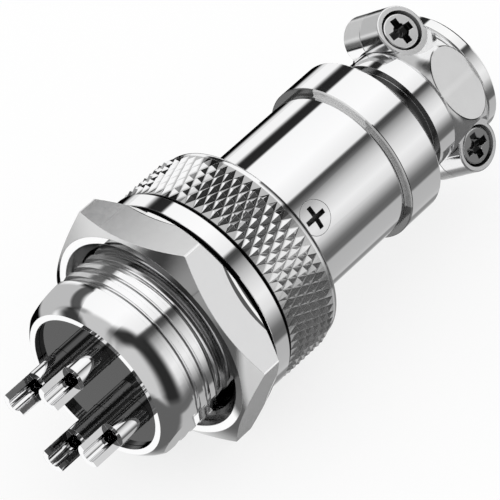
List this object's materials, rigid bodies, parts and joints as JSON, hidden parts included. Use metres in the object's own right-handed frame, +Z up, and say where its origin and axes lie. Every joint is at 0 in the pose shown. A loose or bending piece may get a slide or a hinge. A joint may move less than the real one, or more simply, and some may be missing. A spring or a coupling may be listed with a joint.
{
  "type": "circular plug and socket connector",
  "caption": "Mated circular connector: rear-nut panel socket with solder cups and a cable plug with knurled coupling ring and screw cable clamp.",
  "frame": {"origin": "on the connector axis, in the plane of the flange face that seats on the panel", "axes": "+X along the connector axis from the solder cups to the cable clamp, +Z up as the mated pair lies on one flat of its nut"},
  "size_m": [0.0487, 0.0226, 0.0196],
  "materials": {
    "shell_chrome": "bright plated, polished",
    "ring_chrome": "bright plated, with a diamond knurl",
    "nut_nickel": "nickel plated, satin flats",
    "clamp_nickel": "bright plated, satin top flat",
    "screw_steel": "plated steel",
    "contact_plated": "bright plated",
    "insulator_dark": "glossy moulded"
  },
  "bodies": {
    "receptacle": {"receptacle_shell": "shell_chrome", "receptacle_insulator": "insulator_dark", "contact_pin_1": "contact_plated", "contact_pin_2": "contact_plated", "contact_pin_3": "contact_plated", "contact_pin_4": "contact_plated"},
    "washer": {"panel_washer": "nut_nickel"},
    "nut": {"panel_nut": "nut_nickel"},
    "plug": {"plug_barrel": "shell_chrome", "plug_insert_sleeve": "shell_chrome", "plug_insulator": "insulator_dark", "socket_contact_1": "contact_plated", "socket_contact_2": "contact_plated", "socket_contact_3": "contact_plated", "socket_contact_4": "contact_plated", "barrel_set_screw": "screw_steel", "clamp_body": "shell_chrome", "clamp_saddle": "clamp_nickel", "clamp_screws": "screw_steel"},
    "ring": {"coupling_ring": "ring_chrome"}
  },
  "joints": [
    {"name": "ring_spin", "type": "hinge", "parent": "plug", "child": "ring", "pos_m": [0.005, 0, 0], "axis": [1, 0, 0], "range_deg": [0, 1440]},
    {"name": "plug_travel", "type": "slide", "parent": "receptacle", "child": "plug", "axis": [1, 0, 0], "range_m": [0, 0.00468]},
    {"name": "nut_spin", "type": "hinge", "parent": "washer", "child": "nut", "pos_m": [-0.002, 0, 0], "axis": [1, 0, 0], "range_deg": [-1080, 0]},
    {"name": "nut_travel", "type": "slide", "parent": "receptacle", "child": "washer", "axis": [1, 0, 0], "range_m": [-0.00351, 0]}
  ],
  "couplings": [
    {"joint": "ring_spin", "follows": "plug_travel", "rad_per_m": 5370.2},
    {"joint": "nut_spin", "follows": "nut_travel", "rad_per_m": 5370.2}
  ]
}
